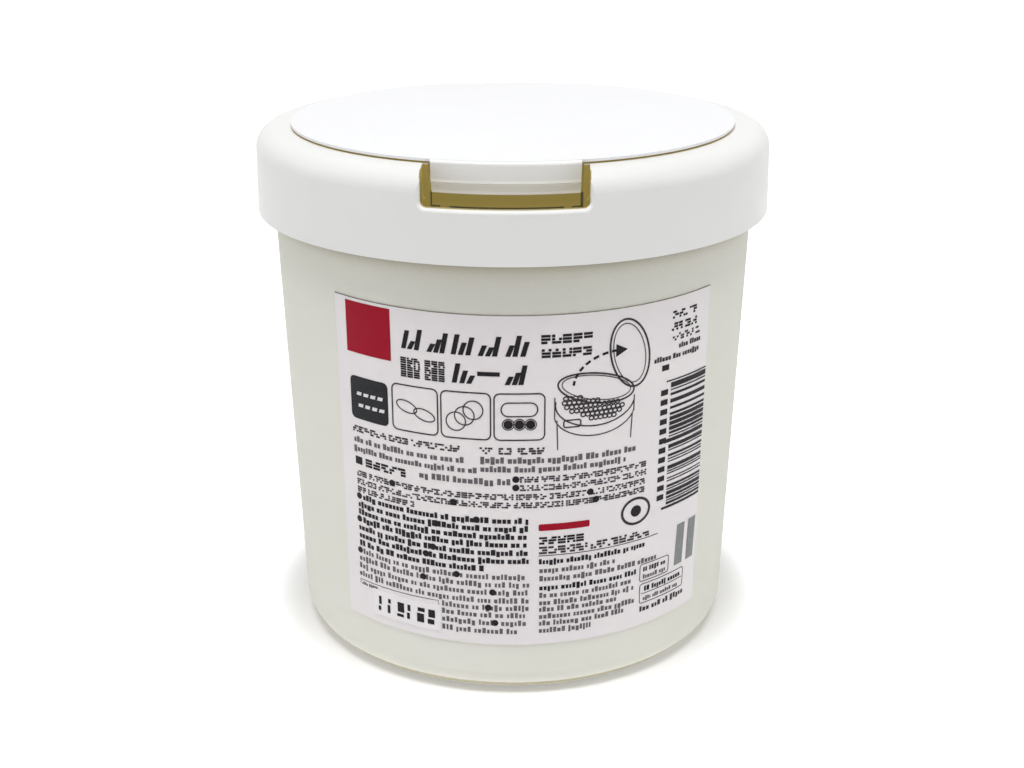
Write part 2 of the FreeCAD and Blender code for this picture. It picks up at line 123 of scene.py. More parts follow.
class Tree:
    """Short way to add and link a material's nodes."""

    def __init__(self, name):
        self.material = bpy.data.materials.new(name)
        self.material.use_nodes = True
        self.nodes = self.material.node_tree.nodes
        self.links = self.material.node_tree.links
        self.shader = self.nodes["Principled BSDF"]
        self.coords = self.nodes.new("ShaderNodeTexCoord")

    def node(self, kind, **values):
        """New node of a kind, with its own settings."""
        made = self.nodes.new(kind)
        for key, value in values.items():
            setattr(made, key, value)
        return made

    def link(self, source, target):
        """Joins an output to an input."""
        self.links.new(source, target)

    def noise(self, scale, detail=2.0, stretch=(1.0, 1.0, 1.0)):
        """Noise in the object's own coordinates; scale is in cells per metre."""
        mapping = self.node("ShaderNodeMapping")
        mapping.inputs["Scale"].default_value = stretch
        made = self.node("ShaderNodeTexNoise")
        made.inputs["Scale"].default_value = scale
        made.inputs["Detail"].default_value = detail
        self.link(self.coords.outputs["Object"], mapping.inputs["Vector"])
        self.link(mapping.outputs["Vector"], made.inputs["Vector"])
        return made.outputs["Fac"]

    def spread(self, source, low, high):
        """Maps noise, which stays near one half, to a range of values."""
        made = self.node("ShaderNodeMapRange")
        made.inputs["From Min"].default_value = NOISE_LOW
        made.inputs["From Max"].default_value = NOISE_HIGH
        made.inputs["To Min"].default_value = low
        made.inputs["To Max"].default_value = high
        self.link(source, made.inputs["Value"])
        return made.outputs["Result"]

    def mix(self, factor, first, second):
        """Mixes two colours, each a socket or a plain colour."""
        made = self.node("ShaderNodeMix", data_type="RGBA")
        self.link(factor, made.inputs["Factor"])
        for socket, value in (("A", first), ("B", second)):
            target = [s for s in made.inputs if s.name == socket and s.type == "RGBA"][0]
            if isinstance(value, tuple):
                target.default_value = value
            else:
                self.link(value, target)
        return [s for s in made.outputs if s.type == "RGBA"][0]

    def calc(self, operation, *values):
        """One Math node; each value is a socket or a number."""
        made = self.node("ShaderNodeMath", operation=operation)
        for target, value in zip(made.inputs, values):
            if isinstance(value, (int, float)):
                target.default_value = value
            else:
                self.link(value, target)
        return made.outputs[0]

    def place(self):
        """The point's own coordinates and its distance from the upright axis, in metres."""
        split = self.node("ShaderNodeSeparateXYZ")
        self.link(self.coords.outputs["Object"], split.inputs[0])
        x, y, z = split.outputs
        square = self.calc("ADD", self.calc("MULTIPLY", x, x), self.calc("MULTIPLY", y, y))
        return x, y, z, self.calc("SQRT", square)

    def ramp(self, source, start, end, first, last):
        """Smooth change from one value to another between two limits."""
        made = self.node("ShaderNodeMapRange", interpolation_type="SMOOTHSTEP")
        made.inputs["From Min"].default_value = start
        made.inputs["From Max"].default_value = end
        made.inputs["To Min"].default_value = first
        made.inputs["To Max"].default_value = last
        self.link(source, made.inputs["Value"])
        return made.outputs["Result"]

    def below(self, value, edge, soft=0.1):
        """1 below an edge given in millimetres and 0 above it, with a soft change."""
        return self.ramp(value, (edge - soft) * MM, (edge + soft) * MM, 1.0, 0.0)

    def above(self, value, edge, soft=0.1):
        """0 below an edge given in millimetres and 1 above it, with a soft change."""
        return self.calc("SUBTRACT", 1.0, self.below(value, edge, soft))

    def hidden(self, reach, closed_at=0.02, open_from=0.5):
        """1 where the surface is closed in within a reach in metres, 0 where it lies open."""
        made = self.node("ShaderNodeAmbientOcclusion", samples=8)
        made.inputs["Distance"].default_value = reach
        return self.ramp(made.outputs["AO"], closed_at, open_from, 1.0, 0.0)

    def under_lid(self):
        """1 where the lid ring's rim shades the surface below it, 0 on open walls."""
        near_lid = self.above(self.place()[2], SHADE_START, SHADE_SOFT)
        return self.calc("MULTIPLY", self.hidden(SHADE_REACH, 0.35, 1.0), near_lid)

    def bump(self, height, strength, distance, normal=None):
        """Normal of a surface raised by a height; the distance is in metres."""
        made = self.node("ShaderNodeBump")
        made.inputs["Strength"].default_value = strength
        made.inputs["Distance"].default_value = distance
        self.link(height, made.inputs["Height"])
        if normal is not None:
            self.link(normal, made.inputs["Normal"])
        return made.outputs["Normal"]


def plastic(
        name, light, cloudy, rough, gloss, shade, enclosed, reach=None, glow=0.0, painted_glow_edge=None):
    """Satin moulded plastic: faint clouds and fine grain, with painted shade and painted glow in
    gaps.

    shade is the colour of painted shade in narrow gaps within reach, or without a reach on the wall
    just below the lid ring, and glow is a painted glow in those gaps. enclosed gives the mask of
    the surfaces inside the shut lid, which are painted dark olive and given a painted glow. The
    last argument gives a lower edge with a painted glow: its height, how softly it ends, and its
    strength.
    """
    tree = Tree(name)
    clouds = tree.spread(tree.noise(34.0, 3.0), 0.0, 1.0)
    close = tree.hidden(reach) if reach else tree.under_lid()
    inner = enclosed(tree)
    # Painted shade: gaps, or the wall just below the lid ring, take the shade colour, and surfaces
    # inside the shut lid turn dark olive
    colour = tree.mix(close, tree.mix(clouds, light, cloudy), shade)
    tree.link(tree.mix(inner, colour, PAINTED_SHADE_OLIVE), tree.shader.inputs["Base Color"])
    # Painted glow in those gaps and inside the shut lid, though no lamp lights them
    gap_glow = tree.calc("MULTIPLY", close, glow)
    strength = tree.calc("MAXIMUM", gap_glow, tree.calc("MULTIPLY", inner, INNER_GLOW))
    # Painted glow near the lower edge: in the plastic's own colour outside, in the glow colour
    # inside
    if painted_glow_edge:
        edge, fade, level = painted_glow_edge
        low = tree.below(tree.place()[2], edge, fade)
        strength = tree.calc("MAXIMUM", strength, tree.calc("MULTIPLY", low, level))
        outer_low = tree.calc("MULTIPLY", low, tree.calc("SUBTRACT", 1.0, inner))
        tint = tree.mix(outer_low, PAINTED_GLOW_COLOUR, light)
        tree.link(tint, tree.shader.inputs["Emission Color"])
    else:
        tree.shader.inputs["Emission Color"].default_value = PAINTED_GLOW_COLOUR
    tree.link(strength, tree.shader.inputs["Emission Strength"])
    grain = tree.noise(5200.0, 2.0)
    waves = tree.noise(240.0, 2.0)
    tree.link(tree.spread(waves, rough - 0.04, rough + 0.05), tree.shader.inputs["Roughness"])
    wavy = tree.bump(waves, 0.12, 0.0002)
    tree.link(tree.bump(grain, 0.22, 0.00002, wavy), tree.shader.inputs["Normal"])
    tree.shader.inputs["IOR"].default_value = 1.49
    tree.shader.inputs["Specular IOR Level"].default_value = gloss
    return tree.material


# These masks pick the surfaces inside the shut lid, which are painted dark olive and given a
# painted glow.
def inside_tub(tree):
    """Inner side of the tub's wall and floor, as far as the lid shuts it in."""
    z, out = tree.place()[2:]
    middle = tree.calc("MULTIPLY_ADD", z, math.tan(SLOPE), (TUB_BASE_RADIUS - HALF_WALL) * MM)
    inner = tree.below(tree.calc("SUBTRACT", out, middle), 0.0)
    inner = tree.calc("MULTIPLY", inner, tree.above(z, FOOT_TOP))
    return tree.calc("MULTIPLY", inner, tree.hidden(0.06))


def inside_lid_ring(tree):
    """Walls of the notch and of the button's well, and the plug ring's inner side."""
    x, y, z, out = tree.place()
    side = tree.calc("ABSOLUTE", x)
    notch = tree.below(out, NOTCH_RADIUS, 0.3)
    notch = tree.calc("MULTIPLY", notch, tree.below(side, NOTCH_HALF_WIDTH, 0.05))
    notch = tree.calc("MULTIPLY", notch, tree.below(y, NOTCH_BACK))
    notch = tree.calc("MULTIPLY", notch, tree.below(z, NOTCH_TOP, 0.05))
    plug = tree.calc("MULTIPLY", tree.below(out, PLUG_RADIUS), tree.below(z, PLUG_TOP))
    return tree.calc("MAXIMUM", notch, tree.calc("MULTIPLY", plug, tree.hidden(0.02)))


def under_flap(tree):
    """Flap's skirt and hook, while the flap is shut."""
    below = tree.below(tree.place()[2], FLAP_UNDERSIDE)
    return tree.calc("MULTIPLY", below, tree.hidden(0.015))


def under_button(tree):
    """Button's apron and cheeks below its front."""
    return tree.below(tree.place()[2], BUTTON_END, 0.04)


def paper(name, light, cloudy, rough):
    """Coated label paper with faint fibres, shaded just below the lid ring."""
    tree = Tree(name)
    clouds = tree.spread(tree.noise(60.0, 3.0), 0.0, 1.0)
    colour = tree.mix(tree.under_lid(), tree.mix(clouds, light, cloudy), PAPER_SHADE)
    tree.link(colour, tree.shader.inputs["Base Color"])
    fibres = tree.noise(2600.0, 3.0, (1.0, 1.0, 0.35))
    tree.link(tree.spread(fibres, rough - 0.05, rough + 0.07), tree.shader.inputs["Roughness"])
    tree.link(tree.bump(fibres, 0.2, 0.00003), tree.shader.inputs["Normal"])
    tree.shader.inputs["Specular IOR Level"].default_value = 0.3
    return tree.material


def ink(name, dark, thin, rough):
    """Printed ink, a little thinner in places."""
    tree = Tree(name)
    patches = tree.spread(tree.noise(900.0, 3.0), 0.0, 1.0)
    tree.link(tree.mix(patches, dark, thin), tree.shader.inputs["Base Color"])
    streaks = tree.noise(2600.0)
    tree.link(tree.spread(streaks, rough - 0.05, rough + 0.06), tree.shader.inputs["Roughness"])
    tree.link(tree.bump(patches, 0.1, 0.00001), tree.shader.inputs["Normal"])
    tree.shader.inputs["Specular IOR Level"].default_value = 0.12
    return tree.material


# Painted shade: dark olive for narrow gaps in the lid and for the surfaces inside the shut lid
PAINTED_SHADE_OLIVE = linear(114, 100, 50)
# Painted shadow: beige for the tub's wall just below the lid ring
PAINTED_SHADOW_BEIGE = linear(132, 119, 78)
PAPER_SHADE = linear(96, 90, 82)
# Painted shade: ivory for the button's narrow gaps
PAINTED_SHADE_IVORY = linear(205, 202, 192)
# Colour of the painted glow: the plastic glows with it though no lamp lights it
PAINTED_GLOW_COLOUR = linear(140, 125, 68)
# Strength of the painted glow of the surfaces inside the shut lid
INNER_GLOW = 0.7

# Painted light in the looks: the tub's wall is painted beige shadow just below the lid ring, glows
# at its foot, and is painted dark olive and glowing inside the shut lid; the lid ring and flap are
# painted dark olive and glow in narrow gaps and inside the shut lid; the button is painted ivory in
# narrow gaps, dark olive and glowing below its front, and glows on its lower part; the label and
# sticker paper are painted darker just below the lid ring.
MATERIALS = {
    "tub": plastic(
        "tub_plastic", linear(242, 241, 232), linear(239, 239, 229), rough=0.6, gloss=0.03,
        shade=PAINTED_SHADOW_BEIGE, enclosed=inside_tub, painted_glow_edge=(3.2, 3.0, 0.16)),
    "collar": plastic(
        "lid_plastic", linear(239, 239, 237), linear(236, 236, 234), rough=0.42, gloss=0.3,
        shade=PAINTED_SHADE_OLIVE, enclosed=inside_lid_ring, reach=0.006, glow=0.6),
    "flap": plastic(
        "flap_plastic", linear(243, 244, 246), linear(241, 241, 243), rough=0.4, gloss=0.3,
        shade=PAINTED_SHADE_OLIVE, enclosed=under_flap, reach=0.004, glow=0.6),
    "push_button": plastic(
        "button_plastic", linear(248, 248, 247), linear(245, 245, 244), rough=0.42, gloss=0.3,
        shade=PAINTED_SHADE_IVORY, enclosed=under_button, reach=0.002, painted_glow_edge=(95.7, 0.3, 0.13)),
    "label": paper("label_paper", linear(246, 241, 241), linear(243, 237, 238), rough=0.5),
    "lot_sticker": paper("sticker_paper", linear(248, 244, 245), linear(245, 241, 243), rough=0.42),
}
BLACK = ink("ink_black", linear(18, 16, 20), linear(30, 27, 31), rough=0.45)
CHARCOAL = ink("ink_charcoal", linear(30, 31, 34), linear(38, 39, 42), rough=0.5)
SOFT = ink("ink_soft", linear(94, 89, 93), linear(114, 109, 113), rough=0.5)
FINE = ink("ink_line", linear(50, 46, 50), linear(70, 65, 70), rough=0.5)
RED = ink("ink_red", linear(166, 12, 42), linear(158, 10, 38), rough=0.5)
GREY = ink("ink_grey", linear(132, 136, 134), linear(142, 145, 143), rough=0.45)
PALE = ink("ink_pale", linear(236, 234, 234), linear(226, 224, 225), rough=0.5)


def dress(node):
    """Gives a CAD node its material and smooth shading between its flat faces."""
    thing = frame["nodes"][node]
    thing.data.materials.clear()
    thing.data.materials.append(MATERIALS[node])
    for face in thing.data.polygons:
        face.use_smooth = True


for node_name in MATERIALS:
    dress(node_name)


def new_object(name, vertices, faces, material):
    """Puts a new object of corners and faces with one material into the scene."""
    mesh = bpy.data.meshes.new(name)
    mesh.from_pydata(vertices, [], faces)
    mesh.validate()
    mesh.materials.append(material)
    thing = bpy.data.objects.new(name, mesh)
    bpy.context.scene.collection.objects.link(thing)
    return thing


# Printed shapes on the flat label, each a thin slab laid round the wall

class Print:
    """One printed piece: gathers thin slabs and turns them into one mesh."""

    def __init__(self, name, material, slot="label_paper", base=LABEL_FACE):
        self.name = name
        self.material = material
        self.slot = slot
        self.low = base + INK_LIFT
        self.vertices = []
        self.faces = []

    def ribbon(self, left, right, closed=False):
        """Slab between two rows of points; closed joins its ends."""
        first = len(self.vertices)
        count = len(left)
        for a, b in zip(left, right):
            for x, y in (a, b):
                self.vertices.append(wrap(x, y, self.low))
                self.vertices.append(wrap(x, y, self.low + INK_THICKNESS))
        for i in range(count if closed else count - 1):
            here = first + 4 * i
            there = first + 4 * ((i + 1) % count)
            self.faces.append((here + 1, here + 3, there + 3, there + 1))
            self.faces.append((here, there, there + 2, here + 2))
            self.faces.append((here, here + 1, there + 1, there))
            self.faces.append((here + 2, there + 2, there + 3, here + 3))
        if not closed:
            last = first + 4 * (count - 1)
            self.faces.append((first, first + 2, first + 3, first + 1))
            self.faces.append((last, last + 1, last + 3, last + 2))

    def block(self, x0, x1, y0, y1, lean=0.0):
        """Upright rectangle; lean moves its top sideways."""
        steps = max(1, math.ceil((x1 - x0) / STEP))
        spots = [x0 + (x1 - x0) * i / steps for i in range(steps + 1)]
        self.ribbon([(x, y0) for x in spots], [(x + lean, y1) for x in spots])

    def stroke(self, points, width):
        """Line of even width through points; it closes when the last point is the first."""
        closed = points[0] == points[-1]
        if closed:
            points = points[:-1]
        fine = []
        count = len(points)
        for i in range(count if closed else count - 1):
            a, b = points[i], points[(i + 1) % count]
            dx, dy = b[0] - a[0], b[1] - a[1]
            parts = max(1, math.ceil(math.dist(a, b) / STEP))
            fine += [(a[0] + dx * k / parts, a[1] + dy * k / parts) for k in range(parts)]
        if not closed:
            fine.append(points[-1])
        left, right = [], []
        total = len(fine)
        for i, spot in enumerate(fine):
            before = fine[(i - 1) % total] if closed or i > 0 else spot
            after = fine[(i + 1) % total] if closed or i < total - 1 else spot
            dx, dy = after[0] - before[0], after[1] - before[1]
            size = math.hypot(dx, dy)
            nx, ny = -dy / size * width / 2.0, dx / size * width / 2.0
            left.append((spot[0] - nx, spot[1] - ny))
            right.append((spot[0] + nx, spot[1] + ny))
        self.ribbon(left, right, closed)

    def dot(self, x, y, radius):
        """Filled disc made of two half rows of points."""
        count = 10
        left, right = [], []
        for i in range(count + 1):
            turn = math.pi * i / count
            reach = radius * math.sin(turn) + 0.01
            left.append((x - radius * math.cos(turn), y - reach))
            right.append((x - radius * math.cos(turn), y + reach))
        self.ribbon(left, right)

    def ring(self, x, y, rx, ry, width, start=0.0, end=360.0, tilt=0.0):
        """Ellipse or part of one, drawn as a line; angles are in degrees."""
        count = max(6, int(abs(end - start) / 9.0))
        along, across = math.cos(math.radians(tilt)), math.sin(math.radians(tilt))
        spots = []
        for i in range(count + 1):
            turn = math.radians(start + (end - start) * i / count)
            px, py = rx * math.cos(turn), ry * math.sin(turn)
            spots.append((x + px * along - py * across, y + px * across + py * along))
        if abs(end - start) >= 360.0:
            spots[-1] = spots[0]
        self.stroke(spots, width)

    def frame(self, x0, x1, y0, y1, radius, width):
        """Outline of a rounded rectangle."""
        self.stroke(rounded(x0, x1, y0, y1, radius), width)

    def field(self, x0, x1, y0, y1, radius):
        """Filled rounded rectangle."""
        steps = 5
        flat = x1 - x0 - 2.0 * radius
        spots = []
        for i in range(steps + 1):
            turn = math.pi / 2.0 * i / steps
            spots.append((x0 + radius * (1.0 - math.cos(turn)), radius * (1.0 - math.sin(turn))))
        inner = max(1, math.ceil(flat / STEP))
        for i in range(1, inner):
            spots.append((x0 + radius + flat * i / inner, 0.0))
        for i in range(steps + 1):
            turn = math.pi / 2.0 * (1.0 - i / steps)
            spots.append((x1 - radius * (1.0 - math.cos(turn)), radius * (1.0 - math.sin(turn))))
        lower = [(x, y0 + inset) for x, inset in spots]
        upper = [(x, y1 - inset) for x, inset in spots]
        self.ribbon(lower, upper)

    def line_of_blocks(self, x0, x1, y, height, seed, gap=0.16, wide=0.52):
        """A line of small blocks in groups, as text looks from afar; y is its middle."""
        rnd = random.Random(seed)
        x = x0
        left_in_group = rnd.randint(GROUP_LEAST, GROUP_MOST)
        while x < x1 - 0.3:
            width = height * wide * rnd.uniform(0.7, 1.25)
            low = y - height * 0.5
            top = low + height * (SHORT_HEIGHT if rnd.random() < SHORT_CHANCE else 1.0)
            if rnd.random() < DEEP_CHANCE:
                low -= height * DEEP_REACH
            self.block(x, min(x + width, x1), low, top)
            x += width + height * gap
            left_in_group -= 1
            if left_in_group == 0:
                left_in_group = rnd.randint(GROUP_LEAST, GROUP_MOST)
                x += height * GROUP_GAP

    def line_of_cells(self, x0, x1, y, height, seed, share=0.62):
        """A line of square cells, each partly filled with short bars; y is its middle."""
        rnd = random.Random(seed)
        pitch = height * CELL_PITCH
        small = height / CELL_PARTS
        cells = int((x1 - x0) / pitch)
        for index in range(cells):
            left = x0 + index * pitch
            for row in range(CELL_PARTS):
                run = 0
                for column in range(CELL_PARTS):
                    if rnd.random() < share:
                        run += 1
                    elif run:
                        self.cell_run(left, y - height / 2.0, small, column - run, run, row)
                        run = 0
                if run:
                    self.cell_run(left, y - height / 2.0, small, CELL_PARTS - run, run, row)

    def cell_run(self, left, low, small, column, run, row):
        """Short bar of a cell, with a little room to the next one."""
        x0 = left + column * small
        y0 = low + row * small
        self.block(x0, x0 + run * small * CELL_BAR, y0, y0 + small * CELL_BAR_HEIGHT)

    def make(self, body="tub"):
        """Turns the slabs into one piece that rides on the tub."""
        piece = new_object(self.name, self.vertices, self.faces, self.material)
        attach(piece, body)


def rounded(x0, x1, y0, y1, radius):
    """Closed row of points round a rectangle with rounded corners."""
    spots = []
    for cx, cy, start in (
        (x1 - radius, y1 - radius, 0), (x0 + radius, y1 - radius, 90),
        (x0 + radius, y0 + radius, 180), (x1 - radius, y0 + radius, 270),
    ):
        for i in range(5):
            turn = math.radians(start + 22.5 * i)
            spots.append((cx + radius * math.cos(turn), cy + radius * math.sin(turn)))
    spots.append(spots[0])
    return spots


black = Print("label_print_black", BLACK)
soft = Print("label_print_soft", SOFT)
fine = Print("label_print_lines", FINE)
red = Print("label_print_red", RED)
charcoal = Print("label_print_charcoal", CHARCOAL)
grey = Print("label_print_grey", GREY)
pale = Print("label_print_pale", PALE, base=LABEL_FACE + INK_LIFT + INK_THICKNESS)
stamp = Print("sticker_print", BLACK, slot="sticker_paper", base=STICKER_FACE)
bars = Print("label_print_bars", BLACK)

# All places are millimetres on the flat label from its middle, x to the right and y up.
# Lines give their left and right end, the height of their middle, their size and a seed.

# Fields of colour
red.block(-34.0, -24.4, 21.5, 30.9)
charcoal.field(-33.6, -25.3, 9.0, 17.1, 1.0)
for row, y in enumerate((13.9, 11.7)):
    for index in range(4):
        x = -32.2 + index * 1.55 + 0.3 * row
        pale.block(x, x + 1.05, y - 0.32, y + 0.32, 0.18)

# Heading: slanted bars and small blocks in place of words; each bar has a shift and a height
LOWER_BARS = ((9.0, 3.5), (10.3, 2.3), (11.5, 1.5), (18.0, 1.5), (19.2, 2.2), (20.3, 3.5))
UPPER_BARS = (
    ((-0.1, 3.3), (1.0, 1.5), (2.3, 3.7)),
    ((0.1, 1.5), (1.3, 2.4), (2.4, 3.6)),
    ((-0.1, 3.6), (1.1, 2.2), (2.4, 3.2)),
    ((0.0, 1.9), (1.2, 1.6), (2.4, 3.5)),
    ((0.1, 2.0), (1.3, 3.7), (2.6, 2.6)),
)
HEADING_LEFT, HEADING_PITCH, BAR_WIDTH = -22.2, 4.5, 0.85
UPPER_LINE, LOWER_LINE = 24.3, 19.2
for index, bars_here in enumerate(UPPER_BARS):
    for dx, tall in bars_here:
        left = HEADING_LEFT + HEADING_PITCH * index + dx
        black.block(left, left + BAR_WIDTH, UPPER_LINE, UPPER_LINE + tall, 0.75)
for index, seed in enumerate((201, 202)):
    left = -22.5 + HEADING_PITCH * index
    for row in range(3):
        y = 19.7 + 1.25 * row
        black.line_of_cells(left, left + 3.9, y, 1.2, seed + 10 * row, 0.9)
for dx, tall in LOWER_BARS:
    left = HEADING_LEFT + dx
    black.block(left, left + BAR_WIDTH, LOWER_LINE, LOWER_LINE + tall, 0.7)
black.block(-8.8, -5.0, 20.7, 21.45)

# Outlined boxes with plain motifs
for x0, x1 in ((-24.4, -15.8), (-15.2, -6.6), (-6.0, 2.6)):
    fine.frame(x0, x1, 9.0, 17.55, 1.0, 0.24)
fine.ring(-21.6, 13.6, 2.0, 1.0, 0.2, tilt=-18.0)
fine.ring(-18.3, 12.5, 2.0, 1.0, 0.2, tilt=-18.0)
for shift in (0.0, 1.5, 3.0):
    fine.ring(-12.6 + shift, 12.1 + shift * 0.75, 1.7, 1.7, 0.2)
fine.frame(-4.8, 1.4, 13.4, 15.9, 1.2, 0.22)
for x in (-3.6, -1.7, 0.2):
    black.dot(x, 11.9, 0.8)
    fine.ring(x, 11.9, 1.0, 1.0, 0.16)

# Small bold lines beside the heading, upper right lines
black.line_of_cells(1.9, 12.3, 27.3, 1.75, 11, 0.8)
black.line_of_cells(2.0, 12.2, 24.8, 1.7, 12, 0.72)
black.line_of_cells(26.7, 34.3, 28.4, 1.5, 13, 0.5)
black.line_of_cells(26.6, 34.5, 26.2, 1.55, 14, 0.66)
fine.line_of_cells(26.9, 34.6, 24.2, 1.4, 15, 0.5)
fine.line_of_blocks(28.5, 34.2, 22.4, 0.95, 16)
fine.line_of_blocks(22.9, 34.5, 20.7, 0.95, 17)

# Line drawing: a plain tub with its lid up, and a dashed arrow
fine.ring(11.8, 17.7, 7.1, 2.7, 0.3, tilt=-11.0)
fine.ring(11.8, 17.8, 6.4, 2.2, 0.16, tilt=-11.0)
fine.ring(11.7, 15.2, 7.3, 4.4, 0.24, 172.0, 352.0)
fine.ring(17.9, 23.2, 3.7, 6.4, 0.34, tilt=14.0)
fine.ring(17.8, 23.2, 3.0, 5.6, 0.16, tilt=14.0)
fine.ring(11.6, 13.4, 7.4, 4.4, 0.2, 186.0, 350.0)
fine.stroke([(4.3, 16.6), (4.3, 13.0)], 0.2)
fine.stroke([(4.7, 12.4), (4.9, 6.9)], 0.2)
fine.stroke([(18.9, 15.4), (18.9, 12.4)], 0.2)
fine.stroke([(18.6, 12.0), (18.4, 7.4)], 0.2)
fine.frame(5.9, 8.9, 11.0, 12.3, 0.4, 0.24)
# Rows of small rings under the lid: height, first and last place
RING_ROWS = (
    (16.3, 6.2, 9.2), (15.5, 6.0, 12.2), (14.7, 6.4, 16.4),
    (13.9, 7.3, 17.2), (13.1, 9.3, 16.8), (12.3, 10.8, 15.6),
)
RING_PITCH = 0.84
for y, first, last in RING_ROWS:
    for column in range(int((last - first) / RING_PITCH) + 1):
        fine.ring(first + column * RING_PITCH, y, 0.4, 0.36, 0.22)
# Dashes of the arrow: each starts DASH_PITCH degrees after the last and is DASH_LENGTH long
DASH_START, DASH_PITCH, DASH_LENGTH = 176.0, 13.0, 8.0
for index in range(7):
    start = DASH_START - DASH_PITCH * index
    turns = [math.radians(start), math.radians(start - DASH_LENGTH)]
    ends = [(15.4 + 7.9 * math.cos(turn), 18.2 + 5.9 * math.sin(turn)) for turn in turns]
    black.stroke(ends, 0.42)
black.ribbon([(15.1, 22.9), (17.2, 24.0)], [(15.1, 25.2), (17.2, 24.1)])

# Material lines under the boxes
fine.line_of_cells(-33.5, -10.6, 7.0, 1.3, 21, 0.66)
soft.line_of_blocks(-33.3, -11.2, 4.9, 1.1, 22)
soft.line_of_blocks(-33.4, -8.6, 3.1, 1.05, 23)
fine.line_of_cells(-8.5, 2.8, 7.0, 1.35, 24, 0.66)
soft.line_of_blocks(-8.4, 19.9, 5.2, 1.15, 25)
soft.line_of_blocks(-8.4, 18.0, 3.5, 1.1, 26)

# Heading of the dense block, then its lines: left, right, height
black.block(-33.2, -31.6, 0.0, 1.5)
black.line_of_cells(-30.8, -20.4, 0.8, 1.7, 31, 0.78)
soft.line_of_blocks(-19.5, -3.2, 1.1, 1.15, 32, 0.2, 0.6)
SQUARE_ROWS = (
    (-1.6, 23.2, 1.6), (-1.6, 23.1, 0.0), (-33.0, 23.0, -1.75),
    (-33.0, 23.0, -3.35), (-33.0, -20.4, -4.95),
)
for index, (x0, x1, y) in enumerate(SQUARE_ROWS):
    fine.line_of_cells(x0, x1, y, 1.2, 40 + index, 0.68)
BOLD_ROWS = (
    (-31.8, 0.0, -6.4), (-33.0, 0.0, -8.0), (-33.0, 0.0, -9.55), (-32.0, 0.0, -11.1),
    (-33.1, 0.0, -12.75), (-33.1, 0.0, -14.35), (-33.1, -7.6, -16.0),
)
for index, (x0, x1, y) in enumerate(BOLD_ROWS):
    black.line_of_blocks(x0, x1, y, 1.12, 60 + index, 0.14, 0.58)
LIGHT_ROWS = (
    (-32.3, 0.1, -17.6), (-33.3, 0.1, -19.15), (-33.4, 0.1, -20.75), (-33.5, 0.1, -22.4),
    (-15.7, 0.1, -23.9), (-15.7, 0.1, -25.4), (-15.7, 0.1, -27.0), (-15.7, -1.9, -28.7),
)
for index, (x0, x1, y) in enumerate(LIGHT_ROWS):
    soft.line_of_blocks(x0, x1, y, 1.08, 80 + index, 0.22, 0.46)
DOTS = (
    (-32.7, -6.4), (-32.9, -11.1), (-33.1, -17.6), (-9.2, -6.4), (-16.6, -8.0), (-17.2, -12.75),
    (-18.6, -14.35), (-12.9, -17.6), (-19.2, -19.15), (-6.4, -20.75), (-7.2, -23.9), (-6.0, -27.0),
    (-25.0, -1.75), (-13.2, -3.35), (-2.3, 1.6), (-2.3, 0.0), (10.9, -1.75), (12.0, -3.35),
)
for x, y in DOTS:
    black.dot(x, y, 0.62)

# Right hand block; its rows give their right end, their height and 1 for bold
red.field(1.7, 10.9, -8.5, -7.2, 0.3)
black.line_of_cells(1.8, 10.9, -10.4, 1.6, 101, 0.72)
fine.line_of_cells(1.8, 25.0, -12.3, 1.6, 102, 0.66)
fine.block(1.7, 25.3, -13.5, -13.36)
black.line_of_blocks(1.8, 23.1, -14.6, 1.05, 103, 0.16, 0.5)
RIGHT_ROWS = (
    (16.3, -16.35, 0), (25.2, -18.0, 0), (20.9, -19.85, 1), (19.5, -21.4, 0), (20.6, -22.9, 0),
    (16.5, -24.25, 0), (20.6, -25.7, 0), (18.1, -27.1, 0), (11.5, -28.6, 0),
)
for index, (x1, y, bold) in enumerate(RIGHT_ROWS):
    (black if bold else soft).line_of_blocks(1.9, x1, y, 1.05, 110 + index, 0.18, 0.5)
fine.ring(20.1, -7.4, 2.9, 2.5, 0.5)
black.dot(20.1, -7.4, 1.1)
fine.frame(21.5, 28.4, -22.3, -18.8, 0.5, 0.16)
fine.line_of_blocks(22.2, 27.8, -19.9, 0.9, 121)
soft.line_of_blocks(22.2, 27.6, -21.4, 0.9, 122)
fine.frame(21.6, 32.7, -26.9, -22.9, 0.5, 0.16)
fine.block(22.0, 32.4, -25.0, -24.86)
black.line_of_blocks(22.6, 31.8, -24.0, 1.0, 123)
soft.line_of_blocks(22.4, 31.6, -26.0, 0.8, 124)
fine.line_of_blocks(21.7, 33.2, -28.1, 1.1, 125, 0.18, 0.55)
for x0 in (30.0, 33.4):
    grey.block(x0, x0 + 2.2, -21.8, -13.4, 0.4)

# Striped block: uneven bars, some of them longer, and a column of small marks
STRIPES_LOW, STRIPES_HIGH, STRIPES_RIGHT = -8.9, 16.8, 36.5
rnd = random.Random(7)
y = STRIPES_LOW
while y < STRIPES_HIGH - 0.2:
    thick = rnd.choice((0.24, 0.24, 0.48, 0.48, 0.72, 0.95))
    long_bar = y < -8.2 or y > 15.9 or 3.6 < y < 4.6
    bars.block(25.9 if long_bar else 27.0, STRIPES_RIGHT, y, min(y + thick, STRIPES_HIGH))
    y += thick + rnd.choice((0.24, 0.3, 0.5, 0.7))
for y in [18.9] + [14.2 - 1.86 * index for index in range(12)]:
    bars.block(24.7, 26.3, y - 0.52, y + 0.52)

